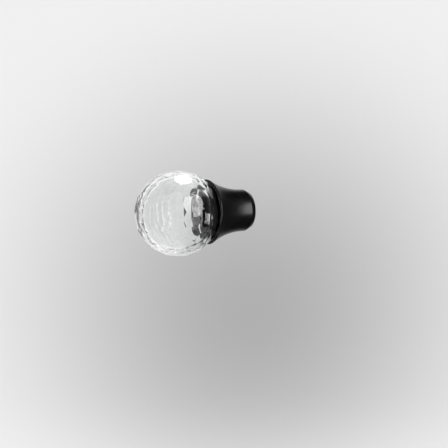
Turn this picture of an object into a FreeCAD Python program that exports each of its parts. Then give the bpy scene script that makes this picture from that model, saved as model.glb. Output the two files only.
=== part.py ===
"""Curtain pole finial: a hollow faceted ball bonded into a turned collar that clamps on a pole.

Row frame: the origin is the centre of the collar's open end, +X runs out of that end along the
pole, the ball lies towards -X, and +Z is up. Lengths are millimetres, angles are degrees.
"""
import FreeCAD, Part
import os
from enum import IntEnum
from typing import NamedTuple

import Sketcher
from FreeCAD import Placement, Rotation, Vector

DIMENSIONS = {
    # The pole and the socket that slips over it
    "pole_dia": 25.4,
    "pole_clearance": 0.15,
    "socket_depth": 22.0,
    "web_thick": 3.3,
    # The collar's outside, from its open end to its lip
    "end_wall": 0.3,
    "shoulder_wall": 2.05,
    "chamfer_run": 3.6,
    "land_run": 1.0,
    "lip_width": 2.25,
    "lip_round": 0.3,
    # The seat that the ball rests on
    "seat_width": 1.5,
    "seat_depth": 1.0,
    "seat_clearance": 0.25,
    # The ball
    "ball_flats": 58.4,
    "ball_wall": 3.6,
    "facet_pitch": 20.8,
    "facets_per_ring": 6,
    "ball_roll": 2.8,
    # The spigot behind the ball
    "spigot_dia": 32.0,
    "spigot_wall": 3.0,
    "spigot_length": 6.0,
    "spigot_chamfer": 0.5,
    "spigot_clearance": 0.2,
    "spigot_end_gap": 0.3,
    # The grub screw
    "screw_dia": 4.0,
    "screw_length": 3.0,
    "screw_chamfer": 0.4,
    "screw_cup_dia": 2.0,
    "screw_cup_depth": 0.5,
    "screw_key": 2.0,
    "screw_key_depth": 1.5,
    "screw_inset": 5.0,
    "screw_clearance": 0.05,
    "screw_retract": 0.1,
}

# The socket, the collar's outside and the recess for the spigot, as expressions of the sheet
SOCKET_RADIUS = "(dims.pole_dia / 2 + dims.pole_clearance)"
END_RADIUS = f"({SOCKET_RADIUS} + dims.end_wall)"
SHOULDER_RADIUS = f"({SOCKET_RADIUS} + dims.shoulder_wall)"
FLARE_START = "(dims.chamfer_run + dims.land_run)"
SPIGOT_RADIUS = "(dims.spigot_dia / 2)"
SPIGOT_BORE = f"({SPIGOT_RADIUS} - dims.spigot_wall)"
RECESS_RADIUS = f"({SPIGOT_RADIUS} + dims.spigot_clearance)"
RECESS_FLOOR = "(dims.socket_depth + dims.web_thick)"
SEAT_PLACE = f"({RECESS_FLOOR} + dims.spigot_end_gap + dims.spigot_length)"
LIP_PLACE = f"({SEAT_PLACE} + dims.seat_depth)"

# The ball, from its centre: its facets touch a sphere of the apothem and are cut from a larger blank.
# The seat lies where that sphere has narrowed to the neck.
APOTHEM = "(dims.ball_flats / 2)"
HOLLOW_RADIUS = f"({APOTHEM} - dims.ball_wall)"
BLANK_RADIUS = f"({APOTHEM} / cos(dims.facet_pitch * 1 deg))"
CUT_REACH = f"({APOTHEM} * tan(dims.facet_pitch * 1 deg))"
CUT_TOP = f"({BLANK_RADIUS} + dims.ball_wall)"
NECK_RADIUS = f"({SPIGOT_RADIUS} + dims.seat_width)"
SEAT_DISTANCE = f"(sqrt({APOTHEM}^2 - {NECK_RADIUS}^2))"
SPIGOT_END = f"({SEAT_DISTANCE} + dims.spigot_length)"
BALL_PLACE = f"({SEAT_PLACE} + {SEAT_DISTANCE})"


class FacetRing(NamedTuple):
    """A ring of equal facets.

    pitches is its distance from the front flat in facet pitches, multiple is its count in units
    of facets_per_ring, and staggered turns it by half a facet.
    """

    pitches: int
    multiple: int
    staggered: bool

    @property
    def name(self):
        """Name of the ring's sketch."""
        return f"facet_ring_{self.pitches}"

    @property
    def slant(self):
        """Angle of the facets behind the ball's widest section."""
        return f"({self.pitches} * dims.facet_pitch * 1 deg - 90 deg)"

    @property
    def count(self):
        """Number of facets in the ring."""
        return f"({self.multiple} * dims.facets_per_ring)"

    @property
    def half_step(self):
        """Half the angle from one facet to the next."""
        return f"(180 deg / {self.count})"

    def flat_radius(self, distance):
        """Radius of a facet's flat at a distance behind the ball's centre."""
        return f"(({APOTHEM} - {distance} * sin({self.slant})) / cos({self.slant}))"


FACET_RINGS = [
    FacetRing(1, 1, False),
    FacetRing(2, 2, False),
    FacetRing(3, 3, False),
    FacetRing(4, 3, True),
    FacetRing(5, 3, False),
    FacetRing(6, 3, True),
]
LAST_RING = FACET_RINGS[-1]

# The lip clears the corners of the last ring of facets, where the ball passes it
LIP_DISTANCE = f"({SEAT_DISTANCE} - dims.seat_depth)"
LIP_CORNER = f"({LAST_RING.flat_radius(LIP_DISTANCE)} / cos({LAST_RING.half_step}))"
SEAT_RADIUS = f"({LIP_CORNER} + dims.seat_clearance)"
LIP_RADIUS = f"({SEAT_RADIUS} + dims.lip_width)"
FLARE_RUN = f"({LIP_PLACE} - {FLARE_START})"
FLARE_RISE = f"({LIP_RADIUS} - {SHOULDER_RADIUS})"
FLARE_RADIUS = f"(({FLARE_RUN}^2 + {FLARE_RISE}^2) / (2 * {FLARE_RISE}))"

# The grub screw and the hexagon of its key
SCREW_RADIUS = "(dims.screw_dia / 2)"
SCREW_PLACE = "(dims.socket_depth - dims.screw_inset)"
KEY_SIDES = 6
KEY_CORNER = f"(dims.screw_key / 2 / cos(180 deg / {KEY_SIDES}))"

ON_AXIS = 1e-9
FULL_TURN = 360


class Axis(IntEnum):
    """The axes of a sketch, by their numbers. Its origin is where the first one starts."""

    ACROSS = -1
    UP = -2


class Point(IntEnum):
    """The points of an edge, by their numbers."""

    START = 1
    END = 2
    CENTRE = 3


class Corner(NamedTuple):
    """A named point of an outline, with its place as expressions.

    free names the direction, across or up, that the rest of the outline settles.
    """

    name: str
    across: str
    up: str
    free: str = ""


class Run(NamedTuple):
    """An edge of an outline and the points where it begins and ends."""

    edge: int
    first: Point
    last: Point


def make_sheet(doc):
    """Write the driving dimensions, one alias each."""
    sheet = doc.addObject("Spreadsheet::Sheet", "dims")
    for row, (alias, value) in enumerate(DIMENSIONS.items(), start=1):
        sheet.set(f"A{row}", alias)
        sheet.set(f"B{row}", str(value))
        sheet.setAlias(f"B{row}", alias)
    doc.recompute()


def value_of(doc, expression):
    """The number that an expression stands for."""
    result = doc.dims.evalExpression(expression)
    return float(getattr(result, "Value", result))


def place_of(doc, corner):
    """The point of a sketch where a corner lies."""
    return Vector(value_of(doc, corner.across), value_of(doc, corner.up), 0)


def origin_feature(body, role):
    """One of a body's own origin planes or axes."""
    return next(item for item in body.Origin.OriginFeatures if item.Role == role)


def new_body(doc, label):
    """A body for one piece."""
    body = doc.addObject("PartDesign::Body", label)
    body.Label = label
    return body


def new_sketch(body, name, plane_role):
    """A sketch on one of the body's origin planes."""
    sketch = body.newObject("Sketcher::SketchObject", name)
    sketch.AttachmentSupport = [(origin_feature(body, plane_role), "")]
    sketch.MapMode = "FlatFace"
    return sketch


def locate(sketch, corner, point):
    """Fix a point of an edge at its corner's distances from the sketch's origin."""
    directions = {
        "across": ("DistanceX", corner.across, Axis.UP),
        "up": ("DistanceY", corner.up, Axis.ACROSS),
    }
    directions.pop(corner.free, None)
    origin = (Axis.ACROSS, Point.START)
    for direction, (kind, expression, axis) in directions.items():
        distance = value_of(sketch.Document, expression)
        if abs(distance) < ON_AXIS:
            sketch.addConstraint(Sketcher.Constraint("PointOnObject", *point, axis))
            continue
        name = f"{corner.name}_{direction}"
        index = sketch.addConstraint(Sketcher.Constraint(kind, *origin, *point, distance))
        sketch.renameConstraint(index, name)
        sketch.setExpression(f"Constraints.{name}", expression)


def add_arc(sketch, centre, start, end):
    """Add the arc of less than half a turn from start to end."""
    circle = Part.Circle(centre, Vector(0, 0, 1), start.distanceToPoint(centre))
    first = circle.parameter(start)
    last = circle.parameter(end)
    if (start - centre).cross(end - centre).z > 0:
        return Run(sketch.addGeometry(Part.ArcOfCircle(circle, first, last)), Point.START, Point.END)
    return Run(sketch.addGeometry(Part.ArcOfCircle(circle, last, first)), Point.END, Point.START)


def draw_outline(sketch, corners, arc_centres=None):
    """Draw a closed outline through corners.

    An edge is an arc where arc_centres has the name of its first corner, and straight otherwise.
    """
    arc_centres = arc_centres or {}
    points = [place_of(sketch.Document, corner) for corner in corners]
    runs = []
    for corner, start, end in zip(corners, points, points[1:] + points[:1]):
        if corner.name in arc_centres:
            centre = place_of(sketch.Document, arc_centres[corner.name])
            runs.append(add_arc(sketch, centre, start, end))
        else:
            runs.append(Run(sketch.addGeometry(Part.LineSegment(start, end)), Point.START, Point.END))
    for run, following in zip(runs, runs[1:] + runs[:1]):
        joint = (run.edge, run.last, following.edge, following.first)
        sketch.addConstraint(Sketcher.Constraint("Coincident", *joint))
    for corner, run in zip(corners, runs):
        locate(sketch, corner, (run.edge, run.first))
        if corner.name in arc_centres:
            locate(sketch, arc_centres[corner.name], (run.edge, Point.CENTRE))


def revolve(body, sketch, axis_role):
    """Turn a sketch once round one of the body's axes."""
    turned = body.newObject("PartDesign::Revolution", f"{sketch.Name}_turned")
    turned.Profile = sketch
    turned.ReferenceAxis = (origin_feature(body, axis_role), [""])
    turned.Angle = FULL_TURN
    body.Document.recompute()
    return turned


def finish_cut(body, feature):
    """Make a cut the body's last feature, and see that it took material away."""
    before = body.Shape.Volume
    body.Tip = feature
    body.Document.recompute()
    if not body.Shape.Volume < before:
        raise RuntimeError(f"{feature.Name} cuts nothing")


def draw_ball_blank(sketch):
    """Half section of the ball before its facets: hollow, bore, spigot, seat, blank and front flat."""
    hollow_end = f"sqrt({HOLLOW_RADIUS}^2 - {SPIGOT_BORE}^2)"
    blank_seat = f"sqrt({BLANK_RADIUS}^2 - {SEAT_DISTANCE}^2)"
    front_edge = f"sqrt({BLANK_RADIUS}^2 - {APOTHEM}^2)"
    chamfer_start = f"({SPIGOT_END} - dims.spigot_chamfer)"
    chamfer_radius = f"({SPIGOT_RADIUS} - dims.spigot_chamfer)"
    corners = [
        Corner("front", f"-{APOTHEM}", "0"),
        Corner("hollow_front", f"-{HOLLOW_RADIUS}", "0"),
        Corner("hollow_end", hollow_end, SPIGOT_BORE, free="across"),
        Corner("bore_end", SPIGOT_END, SPIGOT_BORE),
        Corner("spigot_face", SPIGOT_END, chamfer_radius),
        Corner("spigot_side", chamfer_start, SPIGOT_RADIUS),
        Corner("seat_inner", SEAT_DISTANCE, SPIGOT_RADIUS),
        Corner("seat_outer", SEAT_DISTANCE, blank_seat),
        Corner("front_edge", f"-{APOTHEM}", front_edge, free="up"),
    ]
    centre = Corner("ball_centre", "0", "0")
    draw_outline(sketch, corners, {"hollow_front": centre, "seat_outer": centre})


def draw_facet_cut(sketch, ring):
    """Side view of the cut that leaves one facet: everything beyond the facet's plane.

    The last ring's cut stops at the seat, and the others reach as far behind as ahead.
    """

    def cut_corner(name, height, along):
        across = f"({height} * sin({ring.slant}) + {along} * cos({ring.slant}))"
        up = f"({height} * cos({ring.slant}) - {along} * sin({ring.slant}))"
        return Corner(name, across, up)

    corners = [
        cut_corner("front_top", CUT_TOP, f"(-{CUT_REACH})"),
        cut_corner("front_low", APOTHEM, f"(-{CUT_REACH})"),
    ]
    if ring is LAST_RING:
        corners.append(Corner("back_low", SEAT_DISTANCE, ring.flat_radius(SEAT_DISTANCE)))
        corners.append(Corner("back_top", SEAT_DISTANCE, CUT_TOP))
    else:
        corners.append(cut_corner("back_low", APOTHEM, CUT_REACH))
        corners.append(cut_corner("back_top", CUT_TOP, CUT_REACH))
    draw_outline(sketch, corners)


def cut_facet_ring(body, ring):
    """Cut one facet and repeat it round the ball's axis."""
    sketch = new_sketch(body, ring.name, "XZ_Plane")
    if ring.staggered:
        half_step = value_of(body.Document, ring.half_step)
        sketch.AttachmentOffset = Placement(Vector(), Rotation(Vector(1, 0, 0), half_step))
        sketch.setExpression("AttachmentOffset.Rotation.Angle", ring.half_step)
    draw_facet_cut(sketch, ring)
    facet = body.newObject("PartDesign::Pocket", f"{ring.name}_cut")
    facet.Profile = sketch
    facet.SideType = "Symmetric"
    facet.setExpression("Length", f"2 * {CUT_REACH}")
    finish_cut(body, facet)
    pattern = body.newObject("PartDesign::PolarPattern", f"{ring.name}_pattern")
    pattern.Originals = [facet]
    pattern.Axis = (origin_feature(body, "X_Axis"), [""])
    pattern.Angle = FULL_TURN
    pattern.setExpression("Occurrences", ring.count)
    finish_cut(body, pattern)


def build_crystal_ball(doc):
    """The hollow clear ball, with rings of flat facets and a spigot that goes into the collar."""
    body = new_body(doc, "crystal_ball")
    blank = new_sketch(body, "ball_section", "XZ_Plane")
    draw_ball_blank(blank)
    revolve(body, blank, "X_Axis")
    for ring in FACET_RINGS:
        cut_facet_ring(body, ring)
    body.Placement = Placement(Vector(), Rotation(Vector(1, 0, 0), DIMENSIONS["ball_roll"]))
    body.setExpression("Placement.Base.x", f"-{BALL_PLACE}")
    body.setExpression("Placement.Rotation.Angle", "dims.ball_roll * 1 deg")
    return body


def draw_collar_section(sketch):
    """Half section of the collar: seat, recess, web, socket, chamfered end, land, flare and lip."""
    corners = [
        Corner("lip_inner", f"-{LIP_PLACE}", SEAT_RADIUS),
        Corner("seat_outer", f"-{SEAT_PLACE}", SEAT_RADIUS),
        Corner("seat_inner", f"-{SEAT_PLACE}", RECESS_RADIUS),
        Corner("recess_corner", f"-{RECESS_FLOOR}", RECESS_RADIUS),
        Corner("recess_centre", f"-{RECESS_FLOOR}", "0"),
        Corner("socket_centre", "-dims.socket_depth", "0"),
        Corner("socket_corner", "-dims.socket_depth", SOCKET_RADIUS),
        Corner("end_inner", "0", SOCKET_RADIUS),
        Corner("end_outer", "0", END_RADIUS),
        Corner("shoulder", "-dims.chamfer_run", SHOULDER_RADIUS),
        Corner("flare_start", f"-{FLARE_START}", SHOULDER_RADIUS),
        Corner("lip_outer", f"-{LIP_PLACE}", LIP_RADIUS),
    ]
    flare_up = f"({SHOULDER_RADIUS} + {FLARE_RADIUS})"
    centre = Corner("flare_centre", f"-{FLARE_START}", flare_up, free="up")
    draw_outline(sketch, corners, {"flare_start": centre})


def round_lip(body, turned):
    """Round the lip's outer edge."""
    rims = {}
    for number, edge in enumerate(turned.Shape.Edges, start=1):
        if isinstance(edge.Curve, Part.Circle) and edge.isClosed():
            rims[number] = edge.Curve.Radius
    widest = max(rims, key=rims.get)
    rounded = body.newObject("PartDesign::Fillet", "lip_edge")
    rounded.Base = (turned, [f"Edge{widest}"])
    rounded.setExpression("Radius", "dims.lip_round")
    finish_cut(body, rounded)


def cut_screw_hole(body):
    """Cut the hole for the grub screw through the socket's lower wall."""
    doc = body.Document
    sketch = new_sketch(body, "screw_hole", "XY_Plane")
    hole_radius = f"({SCREW_RADIUS} + dims.screw_clearance)"
    sketch.setExpression("AttachmentOffset.Base.z", f"-({SOCKET_RADIUS} - {SCREW_RADIUS})")
    centre = Corner("hole_centre", f"-{SCREW_PLACE}", "0")
    rim = Part.Circle(place_of(doc, centre), Vector(0, 0, 1), value_of(doc, hole_radius))
    circle = sketch.addGeometry(rim)
    locate(sketch, centre, (circle, Point.CENTRE))
    size = sketch.addConstraint(Sketcher.Constraint("Radius", circle, value_of(doc, hole_radius)))
    sketch.renameConstraint(size, "hole_radius")
    sketch.setExpression("Constraints.hole_radius", hole_radius)
    hole = body.newObject("PartDesign::Pocket", "screw_hole_cut")
    hole.Profile = sketch
    hole.Type = "ThroughAll"
    finish_cut(body, hole)


def build_collar(doc):
    """The turned collar between the pole and the ball."""
    body = new_body(doc, "collar")
    section = new_sketch(body, "collar_section", "XZ_Plane")
    draw_collar_section(section)
    turned = revolve(body, section, "X_Axis")
    round_lip(body, turned)
    cut_screw_hole(body)
    return body


def cut_screw_key(body):
    """Cut the hexagon socket into the screw's outer end."""
    sketch = new_sketch(body, "key_section", "XY_Plane")
    sketch.setExpression("AttachmentOffset.Base.z", "-dims.screw_length")
    corners = []
    for side in range(KEY_SIDES):
        turn = f"({side} * 360 deg / {KEY_SIDES})"
        corners.append(Corner(f"key_{side}", f"({KEY_CORNER} * cos{turn})", f"({KEY_CORNER} * sin{turn})"))
    draw_outline(sketch, corners)
    key = body.newObject("PartDesign::Pocket", "key_cut")
    key.Profile = sketch
    key.Reversed = True
    key.setExpression("Length", "dims.screw_key_depth")
    finish_cut(body, key)


def build_grub_screw(doc):
    """The cup-point grub screw, backed out until its tip clears the socket."""
    body = new_body(doc, "grub_screw")
    section = new_sketch(body, "screw_section", "XZ_Plane")
    bevel_radius = f"({SCREW_RADIUS} - dims.screw_chamfer)"
    corners = [
        Corner("cup_bottom", "0", "-dims.screw_cup_depth"),
        Corner("cup_rim", "(dims.screw_cup_dia / 2)", "0"),
        Corner("tip_bevel", bevel_radius, "0"),
        Corner("tip_side", SCREW_RADIUS, "-dims.screw_chamfer"),
        Corner("head_side", SCREW_RADIUS, "-(dims.screw_length - dims.screw_chamfer)"),
        Corner("head_bevel", bevel_radius, "-dims.screw_length"),
        Corner("head_centre", "0", "-dims.screw_length"),
    ]
    draw_outline(section, corners)
    revolve(body, section, "Z_Axis")
    cut_screw_key(body)
    body.setExpression("Placement.Base.x", f"-{SCREW_PLACE}")
    body.setExpression("Placement.Base.z", f"-({SOCKET_RADIUS} + dims.screw_retract)")
    return body


def check(doc, pieces):
    """Stop if a feature failed or a piece is not one valid solid."""
    for item in doc.Objects:
        if {"Invalid", "Error"} & set(item.State):
            raise RuntimeError(f"{item.Name} failed: {item.State}")
    for piece in pieces:
        shape = piece.Shape
        if shape.isNull() or not shape.isValid() or len(shape.Solids) != 1:
            raise RuntimeError(f"{piece.Label} is not one valid solid")


def main():
    """Build the pieces, check them and write one file each."""
    doc = FreeCAD.newDocument("finial")
    make_sheet(doc)
    pieces = [build_crystal_ball(doc), build_collar(doc), build_grub_screw(doc)]
    doc.recompute()
    check(doc, pieces)
    os.makedirs("parts", exist_ok=True)
    for piece in pieces:
        piece.Shape.exportStep(f"parts/{piece.Label}.step")
        box = piece.Shape.BoundBox
        print(f"{piece.Label}: {piece.Shape.Volume:.1f} mm3, {len(piece.Shape.Faces)} faces, {box}")


main()
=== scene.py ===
"""Looks of a finial: a hollow clear faceted ball in a satin black trumpet collar.

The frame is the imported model's: the origin is the centre of the collar's open end, +X runs out of
that end along the turning axis, the ball lies towards -X, and +Z is up. Lengths are in metres.
"""
import logging
import math
from dataclasses import dataclass, field
from enum import Enum
from typing import Callable, Iterator, Sequence, Union

import bmesh
import bpy
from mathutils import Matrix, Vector


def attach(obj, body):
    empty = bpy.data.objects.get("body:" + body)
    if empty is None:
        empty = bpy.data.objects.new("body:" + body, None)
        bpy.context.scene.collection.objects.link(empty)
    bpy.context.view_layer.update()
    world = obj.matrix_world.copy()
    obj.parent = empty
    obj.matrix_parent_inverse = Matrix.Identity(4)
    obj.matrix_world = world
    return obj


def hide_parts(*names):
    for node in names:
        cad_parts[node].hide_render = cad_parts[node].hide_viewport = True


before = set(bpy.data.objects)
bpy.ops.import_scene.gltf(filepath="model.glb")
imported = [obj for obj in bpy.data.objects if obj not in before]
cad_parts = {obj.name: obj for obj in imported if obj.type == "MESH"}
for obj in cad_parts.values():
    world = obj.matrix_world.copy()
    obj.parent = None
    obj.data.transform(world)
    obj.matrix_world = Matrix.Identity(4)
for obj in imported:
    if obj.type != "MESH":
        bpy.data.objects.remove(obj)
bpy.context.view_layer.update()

LOG = logging.getLogger("finial")
BODY = "root"
MM = 0.001
FULL_TURN = 2 * math.pi
QUARTER_TURN = math.pi / 2
TURNING_AXIS = Vector((1, 0, 0))
TOUCH = 0.00001
WELD_DISTANCE = 0.1 * TOUCH
CUT_TOLERANCE = 0.01 * TOUCH
RIM_SEGMENTS = 3
NOISE_MIDDLE = (0.3, 0.7)
BETWEEN_NONE_AND_ONE = 0.5

# Places of the Mix node's sockets, whose names are the same for colours and for values.
COLOUR_LOW, COLOUR_HIGH, COLOUR_MIXED = 6, 7, 2
VALUE_LOW, VALUE_HIGH, VALUE_MIXED = 2, 3, 0

BmElement = Union[bmesh.types.BMVert, bmesh.types.BMEdge, bmesh.types.BMFace]
NodeOwner = Union[bpy.types.Material, bpy.types.World, bpy.types.Light]
Colour = tuple[float, float, float, float]
Point = tuple[float, float, float]
Direction = tuple[float, float, float]
Span = tuple[float, float]


class Slot(Enum):
    """The names of the record's material slots."""

    CLEAR_ACRYLIC = "clear_acrylic"
    BLACK_COAT = "black_coat"


class Element(Enum):
    """What an edit picks."""

    VERTICES = "VERT"
    EDGES = "EDGE"
    FACES = "FACE"


class Lit(Enum):
    """Which things a light falls on."""

    EVERYTHING = "everything"
    BALL = "ball"
    METAL = "metal"
    STAGE = "stage"


class Passage(Enum):
    """What a ray has done on its way."""

    MIRRORED = "Glossy Depth"
    REFRACTED = "Transmission Depth"


class Measure(Enum):
    """Ways of comparing two directions."""

    ALONG = "DOT_PRODUCT"
    APART = "DISTANCE"


def select_only(piece: bpy.types.Object) -> None:
    """Make a piece the only one that is selected, and the active one.

    Args:
        piece: The piece to work on.
    """
    bpy.ops.object.select_all(action="DESELECT")
    piece.select_set(True)
    bpy.context.view_layer.objects.active = piece


def settle(piece: bpy.types.Object) -> None:
    """Move a piece's place and turn into its mesh.

    Args:
        piece: The piece to settle.
    """
    select_only(piece)
    bpy.ops.object.transform_apply(location=True, rotation=True, scale=True)


def edit(piece: bpy.types.Object) -> None:
    """Open a piece for editing, with all of it selected.

    Args:
        piece: The piece to edit.
    """
    select_only(piece)
    bpy.ops.object.mode_set(mode="EDIT")
    bpy.ops.mesh.select_mode(type=Element.VERTICES.value)
    bpy.ops.mesh.select_all(action="SELECT")


def leave_edit() -> None:
    """Close the piece that is open."""
    bpy.ops.object.mode_set(mode="OBJECT")


def radius_of(point: Vector) -> float:
    """Distance of a point from the turning axis."""
    return math.hypot(point.y, point.z)


def pick(piece: bpy.types.Object, kind: Element, test: Callable[[BmElement], bool]) -> int:
    """Select the elements of an open piece that pass a test, and no others.

    Args:
        piece: The piece that is open for editing.
        kind: The kind of element to select.
        test: Says whether an element is wanted.

    Returns:
        The number of elements selected.
    """
    bpy.ops.mesh.select_mode(type=kind.value)
    bpy.ops.mesh.select_all(action="DESELECT")
    mesh = bmesh.from_edit_mesh(piece.data)
    groups = {Element.VERTICES: mesh.verts, Element.EDGES: mesh.edges, Element.FACES: mesh.faces}
    count = 0
    for element in groups[kind]:
        if test(element):
            element.select_set(True)
            count += 1
    bmesh.update_edit_mesh(piece.data)
    return count


def weld() -> None:
    """Merge the open piece's doubled vertices and point its faces outwards."""
    bpy.ops.mesh.select_all(action="SELECT")
    bpy.ops.mesh.remove_doubles(threshold=WELD_DISTANCE)
    bpy.ops.mesh.normals_make_consistent(inside=False)


@dataclass(frozen=True)
class LineTo:
    """A straight run of a profile to a place along the axis and a radius."""

    along: float
    radius: float

    def draw(self, start: Vector) -> Vector:
        """Extrude the selected vertex along the run.

        Args:
            start: Where the run begins.

        Returns:
            Where it ends.
        """
        end = Vector((self.along, 0, self.radius))
        bpy.ops.mesh.extrude_vertices_move(TRANSFORM_OT_translate={"value": end - start})
        return end


@dataclass(frozen=True)
class ArcTo:
    """A circular run of a profile about a centre, by an angle that turns from +X towards +Z."""

    centre_along: float
    centre_radius: float
    angle: float
    steps: int

    def draw(self, start: Vector) -> Vector:
        """Spin the selected vertex along the run.

        Args:
            start: Where the run begins.

        Returns:
            Where it ends.
        """
        centre = Vector((self.centre_along, 0, self.centre_radius))
        spoke = start - centre
        turned = Vector((
            spoke.x * math.cos(self.angle) - spoke.z * math.sin(self.angle),
            0,
            spoke.x * math.sin(self.angle) + spoke.z * math.cos(self.angle),
        ))
        bpy.ops.mesh.spin(steps=self.steps, angle=self.angle, center=centre, axis=(0, 1, 0))
        return centre + turned


ProfileRun = Union[LineTo, ArcTo]


def turn_profile(
    name: str, start: LineTo, runs: Sequence[ProfileRun], steps: int
) -> bpy.types.Object:
    """Draw a profile from one vertex and spin it once round the turning axis.

    Args:
        name: The piece's name.
        start: Where the profile begins.
        runs: The profile's runs, in order.
        steps: The number of steps round the axis.

    Returns:
        The turned piece.
    """
    place = Vector((start.along, 0, start.radius))
    bpy.ops.object.select_all(action="DESELECT")
    bpy.ops.mesh.primitive_plane_add(size=MM, location=place)
    piece = bpy.context.object
    piece.name = name
    piece.data.name = name
    settle(piece)
    edit(piece)
    bpy.ops.mesh.merge(type="CENTER")
    for run in runs:
        place = run.draw(place)
    bpy.ops.mesh.select_all(action="SELECT")
    bpy.ops.mesh.spin(steps=steps, angle=FULL_TURN, center=(0, 0, 0), axis=TURNING_AXIS)
    weld()
    leave_edit()
    return piece


def round_rim(piece: bpy.types.Object, along: float, radius: float, width: float) -> None:
    """Bevel one of a turned piece's rims.

    Args:
        piece: The piece, closed for editing.
        along: The rim's place on the axis.
        radius: The rim's radius.
        width: The bevel's width.
    """

    def on_rim(edge: BmElement) -> bool:
        """Whether an edge lies on the rim."""
        return all(
            abs(vertex.co.x - along) < TOUCH and abs(radius_of(vertex.co) - radius) < TOUCH
            for vertex in edge.verts
        )

    edit(piece)
    count = pick(piece, Element.EDGES, on_rim)
    if not count:
        raise ValueError(f"{piece.name} has no rim at {along:.5f}, {radius:.5f}")
    bpy.ops.mesh.bevel(offset=width, segments=RIM_SEGMENTS, affect="EDGES")
    leave_edit()


def cut_away(piece: bpy.types.Object, cutter: bpy.types.Object) -> None:
    """Subtract a cutter from a piece, and remove the cutter.

    Args:
        piece: The piece to cut.
        cutter: The closed shape that is taken away.
    """
    select_only(piece)
    cut = piece.modifiers.new("cut", "BOOLEAN")
    cut.operation = "DIFFERENCE"
    cut.solver = "EXACT"
    cut.object = cutter
    bpy.ops.object.modifier_apply(modifier=cut.name)
    bpy.data.objects.remove(cutter)


class NodeSheet:
    """The node tree of a material, world or light, with short ways to add and join nodes."""

    def __init__(self, owner: NodeOwner) -> None:
        """Start from the owner's default nodes.

        Args:
            owner: The new material, world or light.
        """
        owner.use_nodes = True
        self.owner = owner
        self.tree = owner.node_tree

    @classmethod
    def of_material(cls, name: str) -> "NodeSheet":
        """Start a material that has only its shader and output."""
        return cls(bpy.data.materials.new(name))

    @property
    def shader(self) -> bpy.types.Node:
        """The material's main shader."""
        return self.tree.nodes["Principled BSDF"]

    def add(self, kind: str, **settings: object) -> bpy.types.Node:
        """Add a node.

        Args:
            kind: The node's type.
            settings: Its properties, or the values of its inputs by their names with underscores.

        Returns:
            The new node.
        """
        node = self.tree.nodes.new(kind)
        for key, value in settings.items():
            if hasattr(node, key):
                setattr(node, key, value)
            else:
                node.inputs[key.replace("_", " ")].default_value = value
        return node

    def join(self, output: bpy.types.NodeSocket, target: bpy.types.NodeSocket) -> None:
        """Link an output to an input."""
        self.tree.links.new(output, target)

    def place(self) -> bpy.types.NodeSocket:
        """The piece's own coordinates."""
        return self.add("ShaderNodeTexCoord").outputs["Object"]

    def noise(self, size: float, detail: float = 2.0) -> bpy.types.NodeSocket:
        """Noise over the piece.

        Args:
            size: The size of its marks, in metres.
            detail: How many finer layers it has.

        Returns:
            The noise's value.
        """
        texture = self.add("ShaderNodeTexNoise", Scale=1 / size, Detail=detail)
        self.join(self.place(), texture.inputs["Vector"])
        return texture.outputs["Fac"]

    def spread(
        self, value: bpy.types.NodeSocket, low: float, high: float
    ) -> bpy.types.NodeSocket:
        """Map the middle of a noise's range to a range of values.

        Args:
            value: The noise.
            low: The result where the noise is low.
            high: The result where the noise is high.

        Returns:
            The mapped value.
        """
        mapped = self.add(
            "ShaderNodeMapRange",
            From_Min=NOISE_MIDDLE[0],
            From_Max=NOISE_MIDDLE[1],
            To_Min=low,
            To_Max=high,
        )
        self.join(value, mapped.inputs["Value"])
        return mapped.outputs["Result"]

    def blend(
        self, share: bpy.types.NodeSocket, low: Colour, high: Colour
    ) -> bpy.types.NodeSocket:
        """Mix two colours by a noise.

        Args:
            share: The noise.
            low: The colour where the noise is low.
            high: The colour where the noise is high.

        Returns:
            The mixed colour.
        """
        mix = self.add("ShaderNodeMix", data_type="RGBA")
        mix.inputs[COLOUR_LOW].default_value = low
        mix.inputs[COLOUR_HIGH].default_value = high
        self.join(self.spread(share, 0.0, 1.0), mix.inputs["Factor"])
        return mix.outputs[COLOUR_MIXED]

    def choose(
        self, share: bpy.types.NodeSocket, low: bpy.types.NodeSocket, high: bpy.types.NodeSocket
    ) -> bpy.types.NodeSocket:
        """Mix two values.

        Args:
            share: How much of the second value is taken.
            low: The first value.
            high: The second value.

        Returns:
            The mixed value.
        """
        mix = self.add("ShaderNodeMix", data_type="FLOAT")
        self.join(share, mix.inputs["Factor"])
        self.join(low, mix.inputs[VALUE_LOW])
        self.join(high, mix.inputs[VALUE_HIGH])
        return mix.outputs[VALUE_MIXED]

    def was(self, passage: Passage) -> bpy.types.NodeSocket:
        """Tell the rays that were mirrored, or refracted, at least once from the others.

        Args:
            passage: What the rays have done.

        Returns:
            One for those rays, and zero for the others.
        """
        path = self.add("ShaderNodeLightPath")
        counted = self.add("ShaderNodeMath", operation="GREATER_THAN")
        counted.inputs[1].default_value = BETWEEN_NONE_AND_ONE
        self.join(path.outputs[passage.value], counted.inputs[0])
        return counted.outputs["Value"]

    def relief(self, height: bpy.types.NodeSocket, depth: float) -> None:
        """Raise the surface by a height.

        Args:
            height: The relief's height, from 0 to 1.
            depth: How deep the relief is, in metres.
        """
        bump = self.add("ShaderNodeBump", Distance=depth)
        self.join(height, bump.inputs["Height"])
        self.join(bump.outputs["Normal"], self.shader.inputs["Normal"])


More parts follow.
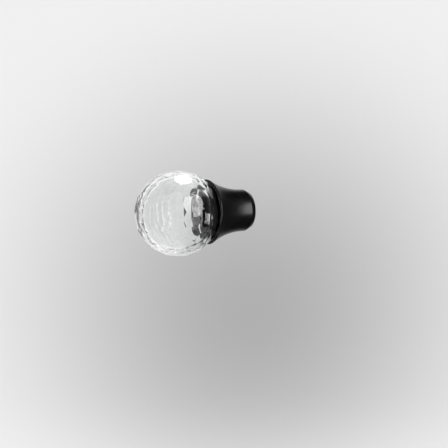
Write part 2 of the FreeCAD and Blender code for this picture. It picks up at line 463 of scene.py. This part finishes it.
@dataclass(frozen=True)
class ClearAcrylic:
    """Clear polished acrylic with the faint ripple of a moulding."""

    colour: Colour = (0.985, 0.992, 0.99, 1.0)
    refraction: float = 1.49
    haze: Span = (0.0, 0.02)
    haze_size: float = 6 * MM
    ripple_size: float = 7 * MM
    ripple_depth: float = 0.02 * MM

    def material(self) -> bpy.types.Material:
        """Make the finish's material.

        Returns:
            The material.
        """
        sheet = NodeSheet.of_material("polished_acrylic")
        shader = sheet.shader.inputs
        shader["Base Color"].default_value = self.colour
        shader["Transmission Weight"].default_value = 1.0
        shader["IOR"].default_value = self.refraction
        sheet.join(sheet.spread(sheet.noise(self.haze_size), *self.haze), shader["Roughness"])
        sheet.relief(sheet.noise(self.ripple_size, detail=1.0), self.ripple_depth)
        return sheet.owner


@dataclass(frozen=True)
class BlackLacquer:
    """Black lacquer on the ball's neck, which hides the bond behind the clear acrylic."""

    dark: Colour = (0.006, 0.006, 0.006, 1.0)
    light: Colour = (0.014, 0.014, 0.014, 1.0)
    tone_size: float = 3 * MM
    gloss: Span = (0.45, 0.6)
    shine: float = 0.05

    def material(self) -> bpy.types.Material:
        """Make the finish's material.

        Returns:
            The material.
        """
        sheet = NodeSheet.of_material("black_lacquer")
        shader = sheet.shader.inputs
        shader["Specular IOR Level"].default_value = self.shine
        tone = sheet.noise(self.tone_size)
        sheet.join(sheet.blend(tone, self.dark, self.light), shader["Base Color"])
        sheet.join(sheet.spread(tone, *self.gloss), shader["Roughness"])
        return sheet.owner


@dataclass(frozen=True)
class PowderCoat:
    """Satin black powder coat, with a fine orange peel."""

    dark: Colour = (0.0016, 0.0016, 0.0017, 1.0)
    light: Colour = (0.0034, 0.0034, 0.0036, 1.0)
    tone_size: float = 4 * MM
    gloss: Span = (0.27, 0.32)
    shine: float = 0.17
    gloss_size: float = 2.5 * MM
    peel_size: float = 0.7 * MM
    peel_depth: float = 0.008 * MM

    def material(self) -> bpy.types.Material:
        """Make the finish's material.

        Returns:
            The material.
        """
        sheet = NodeSheet.of_material("satin_powder_coat")
        shader = sheet.shader.inputs
        shader["Specular IOR Level"].default_value = self.shine
        tone = sheet.blend(sheet.noise(self.tone_size), self.dark, self.light)
        sheet.join(tone, shader["Base Color"])
        sheet.join(sheet.spread(sheet.noise(self.gloss_size), *self.gloss), shader["Roughness"])
        sheet.relief(sheet.noise(self.peel_size, detail=1.5), self.peel_depth)
        return sheet.owner


@dataclass(frozen=True)
class BlackOxideSteel:
    """Black oxide on steel, worn brighter in patches."""

    dark: Colour = (0.03, 0.03, 0.032, 1.0)
    worn: Colour = (0.11, 0.108, 0.105, 1.0)
    wear_size: float = 0.8 * MM
    gloss: Span = (0.3, 0.5)
    grain_size: float = 0.25 * MM
    grain_depth: float = 0.006 * MM

    def material(self) -> bpy.types.Material:
        """Make the finish's material.

        Returns:
            The material.
        """
        sheet = NodeSheet.of_material("black_oxide_steel")
        shader = sheet.shader.inputs
        shader["Metallic"].default_value = 1.0
        wear = sheet.noise(self.wear_size, detail=4.0)
        sheet.join(sheet.blend(wear, self.dark, self.worn), shader["Base Color"])
        sheet.join(sheet.spread(sheet.noise(self.grain_size), *self.gloss), shader["Roughness"])
        sheet.relief(sheet.noise(self.grain_size), self.grain_depth)
        return sheet.owner


@dataclass(frozen=True)
class FacetRing:
    """A ring of equal facets round the ball's axis, a number of pitches away from its tip."""

    pitches: int
    count: int
    staggered: bool

    def normals(self, pitch: float, roll: float) -> Iterator[Vector]:
        """Directions that the facets face.

        Args:
            pitch: The angle from one ring to the next.
            roll: The angle by which the ball is turned in its collar.

        Yields:
            One direction for each facet.
        """
        tilt = self.pitches * pitch
        step = FULL_TURN / self.count
        first = roll + (step / 2 if self.staggered else 0.0)
        for number in range(self.count):
            turn = first + number * step
            yield Vector((
                -math.cos(tilt),
                -math.sin(tilt) * math.sin(turn),
                math.sin(tilt) * math.cos(turn),
            ))


@dataclass
class CrystalBall:
    """The hollow clear ball with flat facets, and the spigot that is bonded into the collar."""

    centre: float = -54.975 * MM
    apothem: float = 29.2 * MM
    hollow_radius: float = 25.6 * MM
    facet_pitch: float = math.radians(20.8)
    roll: float = math.radians(2.8)
    edge_width: float = 0.1 * MM
    seat: float = -31.6 * MM
    spigot_radius: float = 16.0 * MM
    bore_radius: float = 13.0 * MM
    spigot_end: float = -25.6 * MM
    spigot_chamfer: float = 0.5 * MM
    block_size: float = 80 * MM
    round_steps: int = 192
    hollow_steps: int = 96
    sharp_angle: float = math.radians(25)
    acrylic: ClearAcrylic = field(default_factory=ClearAcrylic)
    lacquer: BlackLacquer = field(default_factory=BlackLacquer)
    rings: tuple[FacetRing, ...] = (
        FacetRing(0, 1, False),
        FacetRing(1, 6, False),
        FacetRing(2, 12, False),
        FacetRing(3, 18, False),
        FacetRing(4, 18, True),
        FacetRing(5, 18, False),
        FacetRing(6, 18, True),
    )

    def cut_facets(self) -> bpy.types.Object:
        """Cut a block by the plane of each facet and of the seat, and bevel its edges finely.

        Returns:
            The faceted block, open at its seat.
        """
        middle_point = Vector((self.centre, 0, 0))
        bpy.ops.object.select_all(action="DESELECT")
        bpy.ops.mesh.primitive_cube_add(size=self.block_size, location=middle_point)
        block = bpy.context.object
        block.name = "crystal_ball_piece"
        block.data.name = block.name
        settle(block)
        edit(block)
        for ring in self.rings:
            for normal in ring.normals(self.facet_pitch, self.roll):
                self.cut(middle_point + normal * self.apothem, normal)
        self.cut(Vector((self.seat, 0, 0)), TURNING_AXIS)
        weld()
        bpy.ops.mesh.bevel(offset=self.edge_width, segments=1, affect="EDGES")
        pick(block, Element.FACES, self.is_seat)
        bpy.ops.mesh.delete(type="FACE")
        leave_edit()
        return block

    @staticmethod
    def cut(point: Vector, normal: Vector) -> None:
        """Cut off all that lies beyond a plane.

        Args:
            point: A point of the plane.
            normal: The direction of what is cut off.
        """
        bpy.ops.mesh.select_all(action="SELECT")
        bpy.ops.mesh.bisect(
            plane_co=point,
            plane_no=normal,
            use_fill=True,
            clear_outer=True,
            threshold=CUT_TOLERANCE,
        )

    def is_seat(self, face: BmElement) -> bool:
        """Whether a face lies in the seat's plane."""
        return all(abs(vertex.co.x - self.seat) < TOUCH for vertex in face.verts)

    def turn_hollow(self) -> bpy.types.Object:
        """Turn the surface of the hollow, its bore and the outside of the spigot.

        Returns:
            The turned surface, open where it meets the seat.
        """
        opening = math.asin(self.bore_radius / self.hollow_radius)
        chamfer_start = self.spigot_end - self.spigot_chamfer
        runs = [
            ArcTo(self.centre, 0.0, opening - math.pi, self.hollow_steps),
            LineTo(self.spigot_end, self.bore_radius),
            LineTo(self.spigot_end, self.spigot_radius - self.spigot_chamfer),
            LineTo(chamfer_start, self.spigot_radius),
            LineTo(self.seat, self.spigot_radius),
        ]
        start = LineTo(self.centre - self.hollow_radius, 0.0)
        return turn_profile("ball_hollow", start, runs, self.round_steps)

    def on_seat_loop(self, edge: BmElement) -> bool:
        """Whether an edge is an open one in the seat's plane."""
        return edge.is_boundary and self.is_seat(edge)

    def from_centre(self, spot: Vector) -> float:
        """Distance of a point from the ball's centre."""
        return (spot - Vector((self.centre, 0, 0))).length

    def is_round(self, face: BmElement) -> bool:
        """Tell the faces of the hollow and the spigot, which are smooth, from the facets.

        Args:
            face: A face of the ball.

        Returns:
            Whether the face is smooth.
        """
        spot = face.calc_center_median()
        in_hollow = self.from_centre(spot) < self.hollow_radius + TOUCH
        return in_hollow or spot.x > self.seat + TOUCH

    def is_blacked(self, face: BmElement) -> bool:
        """Tell the faces of the seat, the spigot and its bore, which are lacquered, from the rest.

        Args:
            face: A face of the ball.

        Returns:
            Whether the face is lacquered.
        """
        spot = face.calc_center_median()
        in_wall = self.hollow_radius + TOUCH < self.from_centre(spot) < self.apothem
        in_bore = in_wall and radius_of(spot) < self.bore_radius + TOUCH
        return spot.x > self.seat - TOUCH or (in_bore and spot.x > self.centre)

    def build(self) -> bpy.types.Object:
        """Join the facets to the hollow, shade its round faces smooth and dress it.

        Returns:
            The finished piece.
        """
        ball = self.cut_facets()
        hollow = self.turn_hollow()
        select_only(ball)
        hollow.select_set(True)
        bpy.ops.object.join()
        edit(ball)
        pick(ball, Element.EDGES, self.on_seat_loop)
        bpy.ops.mesh.fill()
        weld()
        bpy.ops.mesh.faces_shade_flat()
        pick(ball, Element.FACES, self.is_round)
        bpy.ops.mesh.faces_shade_smooth()
        bpy.ops.mesh.select_mode(type=Element.EDGES.value)
        bpy.ops.mesh.select_all(action="DESELECT")
        bpy.ops.mesh.edges_select_sharp(sharpness=self.sharp_angle)
        bpy.ops.mesh.mark_sharp()
        leave_edit()
        self.dress(ball)
        return ball

    def dress(self, ball: bpy.types.Object) -> None:
        """Give the ball its finishes and its place in the frame.

        Args:
            ball: The finished mesh.
        """
        for finish in (self.acrylic, self.lacquer):
            ball.data.materials.append(finish.material())
        edit(ball)
        pick(ball, Element.FACES, self.is_blacked)
        ball.active_material_index = len(ball.data.materials) - 1
        bpy.ops.object.material_slot_assign()
        leave_edit()
        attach(ball, BODY)
        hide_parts("crystal_ball")


@dataclass
class Collar:
    """The turned collar: a socket, a trumpet flare and a seat for the ball."""

    socket_radius: float = 12.85 * MM
    socket_floor: float = -22.0 * MM
    end_radius: float = 13.15 * MM
    shoulder: float = -3.6 * MM
    shoulder_radius: float = 14.9 * MM
    flare_start: float = -4.6 * MM
    lip: float = -32.6 * MM
    lip_radius: float = 22.818 * MM
    lip_land: float = 0.5 * MM
    seat: float = CrystalBall.seat
    seat_radius: float = 20.568 * MM
    recess_radius: float = 16.2 * MM
    recess_floor: float = -25.3 * MM
    lip_round: float = 0.1 * MM
    seat_round: float = 0.15 * MM
    shoulder_round: float = 0.25 * MM
    end_round: float = 0.1 * MM
    screw_place: float = -17.0 * MM
    screw_hole_radius: float = 2.05 * MM
    drill_length: float = 12.85 * MM
    drill_middle: float = -15.42 * MM
    drill_steps: int = 64
    round_steps: int = 192
    flare_steps: int = 48
    smooth_angle: float = math.radians(28)
    coat: PowderCoat = field(default_factory=PowderCoat)

    def turn(self) -> bpy.types.Object:
        """Turn the collar's section and round its rims.

        Returns:
            The turned collar.
        """
        run = self.flare_start - (self.lip + self.lip_land)
        rise = self.lip_radius - self.shoulder_radius
        flare_radius = (run**2 + rise**2) / (2 * rise)
        flare_angle = math.asin(run / flare_radius)
        runs = [
            LineTo(self.socket_floor, self.socket_radius),
            LineTo(0.0, self.socket_radius),
            LineTo(0.0, self.end_radius),
            LineTo(self.shoulder, self.shoulder_radius),
            LineTo(self.flare_start, self.shoulder_radius),
            ArcTo(
                self.flare_start,
                self.shoulder_radius + flare_radius,
                -flare_angle,
                self.flare_steps,
            ),
            LineTo(self.lip, self.lip_radius),
            LineTo(self.lip, self.seat_radius),
            LineTo(self.seat, self.seat_radius),
            LineTo(self.seat, self.recess_radius),
            LineTo(self.recess_floor, self.recess_radius),
            LineTo(self.recess_floor, 0.0),
        ]
        start = LineTo(self.socket_floor, 0.0)
        collar = turn_profile("collar_piece", start, runs, self.round_steps)
        round_rim(collar, self.lip, self.lip_radius, self.lip_round)
        round_rim(collar, self.lip, self.seat_radius, self.seat_round)
        round_rim(collar, self.shoulder, self.shoulder_radius, self.shoulder_round)
        round_rim(collar, 0.0, self.end_radius, self.end_round)
        round_rim(collar, 0.0, self.socket_radius, self.end_round)
        return collar

    def drill(self, collar: bpy.types.Object) -> None:
        """Drill the hole for the grub screw.

        Args:
            collar: The turned collar.
        """
        bpy.ops.object.select_all(action="DESELECT")
        bpy.ops.mesh.primitive_cylinder_add(
            vertices=self.drill_steps,
            radius=self.screw_hole_radius,
            depth=self.drill_length,
            location=(self.screw_place, 0, self.drill_middle),
        )
        drill = bpy.context.object
        settle(drill)
        cut_away(collar, drill)

    def build(self) -> bpy.types.Object:
        """Turn, drill and dress the collar.

        Returns:
            The finished piece.
        """
        collar = self.turn()
        self.drill(collar)
        select_only(collar)
        bpy.ops.object.shade_smooth_by_angle(angle=self.smooth_angle)
        collar.data.materials.append(self.coat.material())
        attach(collar, BODY)
        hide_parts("collar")
        return collar


@dataclass
class GrubScrew:
    """The grub screw under the collar."""

    steel: BlackOxideSteel = field(default_factory=BlackOxideSteel)

    def build(self) -> bpy.types.Object:
        """Dress the screw that the frame holds.

        Returns:
            The dressed node.
        """
        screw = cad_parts["grub_screw"]
        screw.data.materials.clear()
        screw.data.materials.append(self.steel.material())
        return screw


@dataclass(frozen=True)
class PaintedDimPatch:
    """A painted darkening of the set's glow around one direction, which dims some of what the part
    mirrors; no card is built.

    One for the outsides only spares the rays that the ball has refracted.
    """

    towards: Direction
    reach: Span
    level: float
    outsides_only: bool = False


@dataclass(frozen=True)
class SetTone:
    """The set's painted glow: seen past the part, through its clear ball, and mirrored in it.

    Attributes:
        shade: Where the painted shade pool is darkest to rays that are not mirrored.
        reach: The distances from there between which the painted tone grows brighter.
        backdrop: Its darkest and brightest painted tones past the part.
        through: Its darkest and brightest painted tones straight through the ball.
        bright_side: The side on which the painted mirrored set is bright.
        turn: Where along that side the painted mirrored set turns from dark to bright.
        mirrored: The painted mirrored set's dark and bright tones.
        painted_dim_patches: The painted dark patches in the mirrored set; no cards are built.
    """

    shade: Direction = (0.5210, 0.8220, -0.2270)
    reach: Span = (0.0, 0.48)
    backdrop: Span = (0.45, 1.0)
    through: Span = (0.61, 0.71)
    bright_side: Direction = (-0.827, 0.447, 0.341)
    turn: Span = (-0.7, -0.35)
    mirrored: Span = (0.05, 0.96)
    painted_dim_patches: tuple[PaintedDimPatch, ...] = (
        PaintedDimPatch((0.700, 0.200, 0.686), (0.30, 0.58), 0.02, outsides_only=True),
        PaintedDimPatch((-0.080, 0.992, -0.100), (0.22, 0.32), 0.05),
        PaintedDimPatch((0.1, -0.2, 0.975), (0.45, 0.75), 0.02, outsides_only=True),
        PaintedDimPatch((0.60, 0.55, -0.581), (0.3, 0.6), 0.6),
    )

    @staticmethod
    def graded(
        sheet: NodeSheet,
        way: bpy.types.NodeSocket,
        towards: Direction,
        reach: Span,
        levels: Span,
        measure: Measure = Measure.ALONG,
    ) -> bpy.types.NodeSocket:
        """Grade a brightness across the set.

        Args:
            sheet: The sheet to add the nodes to.
            way: The direction that is looked in.
            towards: The direction that it is compared with.
            reach: The measured values at which the grade starts and ends.
            levels: The brightness at the start and at the end.
            measure: How the two directions are compared.

        Returns:
            The brightness.
        """
        measured = sheet.add("ShaderNodeVectorMath", operation=measure.value)
        measured.inputs[1].default_value = towards
        sheet.join(way, measured.inputs[0])
        grade = sheet.add(
            "ShaderNodeMapRange",
            interpolation_type="SMOOTHSTEP",
            From_Min=reach[0],
            From_Max=reach[1],
            To_Min=levels[0],
            To_Max=levels[1],
        )
        sheet.join(measured.outputs["Value"], grade.inputs["Value"])
        return grade.outputs["Result"]

    def shown(self, sheet: NodeSheet, way: bpy.types.NodeSocket) -> bpy.types.NodeSocket:
        """Tone of the set for the ray that looks at it.

        Args:
            sheet: The sheet to add the nodes to.
            way: The direction from the ball.

        Returns:
            The tone.
        """
        path = sheet.add("ShaderNodeLightPath")
        # Painted shade pool: the set's glow grows darker towards the shade direction.
        seen = self.graded(sheet, way, self.shade, self.reach, self.backdrop, Measure.APART)
        through = self.graded(sheet, way, self.shade, self.reach, self.through, Measure.APART)
        # Painted reflection tone: the mirrored set is graded from dark to bright towards
        # bright_side.
        mirrored = self.graded(sheet, way, self.bright_side, self.turn, self.mirrored)
        # Each patch paints a darkening into the mirrored tone.
        for painted_dim_patch in self.painted_dim_patches:
            dimmed = sheet.add("ShaderNodeMath", operation="MULTIPLY")
            sheet.join(mirrored, dimmed.inputs[0])
            levels = (painted_dim_patch.level, 1.0)
            left = self.graded(sheet, way, painted_dim_patch.towards, painted_dim_patch.reach, levels, Measure.APART)
            if painted_dim_patch.outsides_only:
                spared = sheet.add("ShaderNodeMath", operation="MAXIMUM")
                sheet.join(left, spared.inputs[0])
                sheet.join(sheet.was(Passage.REFRACTED), spared.inputs[1])
                left = spared.outputs["Value"]
            sheet.join(left, dimmed.inputs[1])
            mirrored = dimmed.outputs["Value"]
        direct = sheet.choose(path.outputs["Is Camera Ray"], through, seen)
        return sheet.choose(sheet.was(Passage.MIRRORED), direct, mirrored)

    @staticmethod
    def share(sheet: NodeSheet, seen_share: float) -> bpy.types.NodeSocket:
        """How much of the tone a ray takes; rays that light dull surfaces take none.

        Args:
            sheet: The sheet to add the nodes to.
            seen_share: The share for the rays that see the set directly.

        Returns:
            The share.
        """
        path = sheet.add("ShaderNodeLightPath")
        seen = sheet.add("ShaderNodeMath", operation="MULTIPLY")
        seen.inputs[1].default_value = seen_share
        sheet.join(path.outputs["Is Camera Ray"], seen.inputs[0])
        share = seen.outputs["Value"]
        for name in ("Is Glossy Ray", "Is Transmission Ray"):
            either = sheet.add("ShaderNodeMath", operation="MAXIMUM")
            sheet.join(share, either.inputs[0])
            sheet.join(path.outputs[name], either.inputs[1])
            share = either.outputs["Value"]
        return share


@dataclass(frozen=True)
class Softbox:
    """A soft rectangular light that faces the ball.

    One that is kept to the ball shows only where it is mirrored, and not straight through the ball.
    """

    name: str
    direction: Direction
    distance: float
    size: Span
    radiance: float
    falls_on: Lit = Lit.EVERYTHING

    def hang(self, aim: Vector, groups: dict[Lit, bpy.types.Collection]) -> None:
        """Hang the light.

        Args:
            aim: The point that it faces.
            groups: The groups of things that a light can be kept to.
        """
        data = bpy.data.lights.new(self.name, "AREA")
        data.shape = "RECTANGLE"
        data.size, data.size_y = self.size
        # An area light's power is pi times its radiance times its area.
        data.energy = self.radiance * math.pi * self.size[0] * self.size[1]
        light = bpy.data.objects.new(self.name, data)
        way = Vector(self.direction).normalized()
        light.location = aim + way * self.distance
        light.rotation_mode = "QUATERNION"
        light.rotation_quaternion = (-way).to_track_quat("-Z", "Y")
        light.visible_camera = False
        if self.falls_on in groups:
            light.light_linking.receiver_collection = groups[self.falls_on]
        if self.falls_on is Lit.BALL:
            sheet = NodeSheet(data)
            emission = sheet.tree.nodes["Emission"]
            sheet.join(sheet.was(Passage.MIRRORED), emission.inputs["Strength"])
        bpy.context.scene.collection.objects.link(light)


@dataclass
class Studio:
    """The camera, whose lens and sensor are in millimetres, the pale stage and the soft lights."""

    eye: Point = (-0.38825, -0.66844, 0.06797)
    tilt: float = math.radians(84.2283)
    heading: float = math.radians(-28.9563)
    lens: float = 86.898
    sensor: float = 36.0
    floor: float = -0.45
    stage_radius: float = 1.5
    stage_steps: int = 96
    wall_height: float = 2.0
    curve: float = 0.35
    curve_steps: int = 12
    smooth_angle: float = math.radians(30)
    ball: Point = (CrystalBall.centre, 0.0, 0.0)
    paper_colour: Colour = (0.8, 0.8, 0.8, 1.0)
    glow_share: float = 0.8
    fill: Colour = (0.25, 0.25, 0.25, 1.0)
    bounces: int = 32
    tone: SetTone = field(default_factory=SetTone)
    softboxes: tuple[Softbox, ...] = (
        Softbox("overhead", (0.301, 0.237, 0.924), 0.8, (0.08, 0.08), 8.0),
        Softbox("stage_light", (0.0, 0.0, 1.0), 1.2, (1.0, 1.0), 3.0, Lit.STAGE),
        Softbox("right_strip", (0.538, -0.822, 0.185), 0.9, (0.38, 0.80), 13.0, Lit.METAL),
        Softbox("right_core", (0.540, -0.837, 0.090), 0.9, (0.42, 0.33), 14.0, Lit.BALL),
        Softbox("right_head", (0.503, -0.689, 0.522), 0.9, (0.42, 0.52), 4.2, Lit.BALL),
        Softbox("right_foot", (0.493, -0.798, -0.347), 0.6, (0.32, 0.30), 3.0, Lit.BALL),
        Softbox("right_wing", (0.248, -0.857, 0.452), 0.9, (0.19, 0.38), 2.5, Lit.BALL),
        Softbox("facet_upper", (0.681, -0.546, 0.488), 0.9, (0.22, 0.58), 7.0, Lit.BALL),
        Softbox("facet_side", (0.940, -0.294, -0.171), 0.9, (0.38, 0.22), 4.5, Lit.BALL),
    )

    def set_camera(self) -> None:
        """Put the camera at the photograph's viewing angle."""
        data = bpy.data.cameras.new("camera")
        data.lens = self.lens
        data.sensor_width = self.sensor
        camera = bpy.data.objects.new("camera", data)
        camera.location = self.eye
        camera.rotation_euler = (self.tilt, 0, self.heading)
        bpy.context.scene.collection.objects.link(camera)
        bpy.context.scene.camera = camera

    def set_stage(self) -> bpy.types.Object:
        """Make a round floor that curves up into a wall.

        Returns:
            The stage.
        """
        flat_radius = self.stage_radius - self.curve
        bpy.ops.object.select_all(action="DESELECT")
        bpy.ops.mesh.primitive_circle_add(
            vertices=self.stage_steps,
            radius=flat_radius,
            fill_type="NGON",
            location=(0, 0, self.floor),
        )
        stage = bpy.context.object
        stage.name = "stage"
        edit(stage)
        bpy.ops.mesh.select_mode(type=Element.EDGES.value)
        for step in range(self.curve_steps):
            before = QUARTER_TURN * step / self.curve_steps
            after = QUARTER_TURN * (step + 1) / self.curve_steps
            start = flat_radius + self.curve * math.sin(before)
            end = flat_radius + self.curve * math.sin(after)
            rise = self.curve * (math.cos(before) - math.cos(after))
            self.raise_rim(stage, end / start, rise)
        self.raise_rim(stage, 1.0, self.wall_height)
        bpy.ops.mesh.select_all(action="SELECT")
        bpy.ops.mesh.normals_make_consistent(inside=True)
        leave_edit()
        settle(stage)
        bpy.ops.object.shade_smooth_by_angle(angle=self.smooth_angle)
        stage.data.materials.append(self.paper())
        return stage

    @staticmethod
    def raise_rim(stage: bpy.types.Object, widen: float, rise: float) -> None:
        """Extrude the stage's open rim.

        Args:
            stage: The stage, open for editing.
            widen: How much wider the new rim is.
            rise: How much higher the new rim is.
        """
        pick(stage, Element.EDGES, lambda edge: edge.is_boundary)
        bpy.ops.mesh.extrude_edges_move(TRANSFORM_OT_translate={"value": (0, 0, rise)})
        bpy.ops.transform.resize(value=(widen, widen, 1.0), center_override=(0, 0, 0))

    def paper(self) -> bpy.types.Material:
        """Make the stage's pale paper, which takes shadows and glows with the set's painted tone
        and painted shade pool.

        Returns:
            The material.
        """
        sheet = NodeSheet.of_material("pale_paper_painted_glow")
        sheet.tree.nodes.remove(sheet.shader)
        offset = sheet.add("ShaderNodeVectorMath", operation="SUBTRACT")
        offset.inputs[1].default_value = self.ball
        sheet.join(sheet.place(), offset.inputs[0])
        way = sheet.add("ShaderNodeVectorMath", operation="NORMALIZE")
        sheet.join(offset.outputs["Vector"], way.inputs[0])
        diffuse = sheet.add("ShaderNodeBsdfDiffuse", Color=self.paper_colour)
        glow = sheet.add("ShaderNodeEmission")
        sheet.join(self.tone.shown(sheet, way.outputs["Vector"]), glow.inputs["Color"])
        mix = sheet.add("ShaderNodeMixShader")
        sheet.join(self.tone.share(sheet, self.glow_share), mix.inputs["Fac"])
        sheet.join(diffuse.outputs["BSDF"], mix.inputs[1])
        sheet.join(glow.outputs["Emission"], mix.inputs[2])
        output = sheet.tree.nodes["Material Output"]
        sheet.join(mix.outputs["Shader"], output.inputs["Surface"])
        return sheet.owner

    def set_world(self) -> None:
        """Give the set's open top the same tone as the paper, with a dim fill for dull surfaces."""
        sheet = NodeSheet(bpy.data.worlds.new("studio"))
        way = sheet.add("ShaderNodeTexCoord").outputs["Generated"]
        mix = sheet.add("ShaderNodeMix", data_type="RGBA")
        mix.inputs[COLOUR_LOW].default_value = self.fill
        sheet.join(self.tone.share(sheet, 1.0), mix.inputs["Factor"])
        sheet.join(self.tone.shown(sheet, way), mix.inputs[COLOUR_HIGH])
        sheet.join(mix.outputs[COLOUR_MIXED], sheet.tree.nodes["Background"].inputs["Color"])
        bpy.context.scene.world = sheet.owner

    def set_lights(self, things_lit: dict[Lit, Sequence[bpy.types.Object]]) -> None:
        """Hang the soft lights, and keep some of them to one group of things.

        Args:
            things_lit: The things that a light can be kept to.
        """
        groups = {}
        for kind, things in things_lit.items():
            groups[kind] = bpy.data.collections.new(f"lit_{kind.value}")
            for thing in things:
                groups[kind].objects.link(thing)
        for softbox in self.softboxes:
            softbox.hang(Vector(self.ball), groups)

    def build(self, ball: bpy.types.Object, metal: Sequence[bpy.types.Object]) -> None:
        """Set the view, the stage and the lights, and let light pass all of the ball's walls.

        Args:
            ball: The finished ball.
            metal: The finished metal pieces.
        """
        scene = bpy.context.scene
        scene.view_settings.view_transform = "Standard"
        scene.cycles.max_bounces = self.bounces
        scene.cycles.transmission_bounces = self.bounces
        scene.cycles.glossy_bounces = self.bounces
        self.set_camera()
        stage = self.set_stage()
        self.set_world()
        self.set_lights({Lit.BALL: [ball], Lit.METAL: metal, Lit.STAGE: [stage]})


def main() -> None:
    """Build the pieces in order and report each."""
    logging.basicConfig(level=logging.INFO, format="%(name)s: %(message)s")
    ball, *metal = (maker.build() for maker in (CrystalBall(), Collar(), GrubScrew()))
    for piece in (ball, *metal):
        LOG.info("%s: %d faces", piece.name, len(piece.data.polygons))
    Studio().build(ball, metal)


if __name__ == "__main__":
    main()
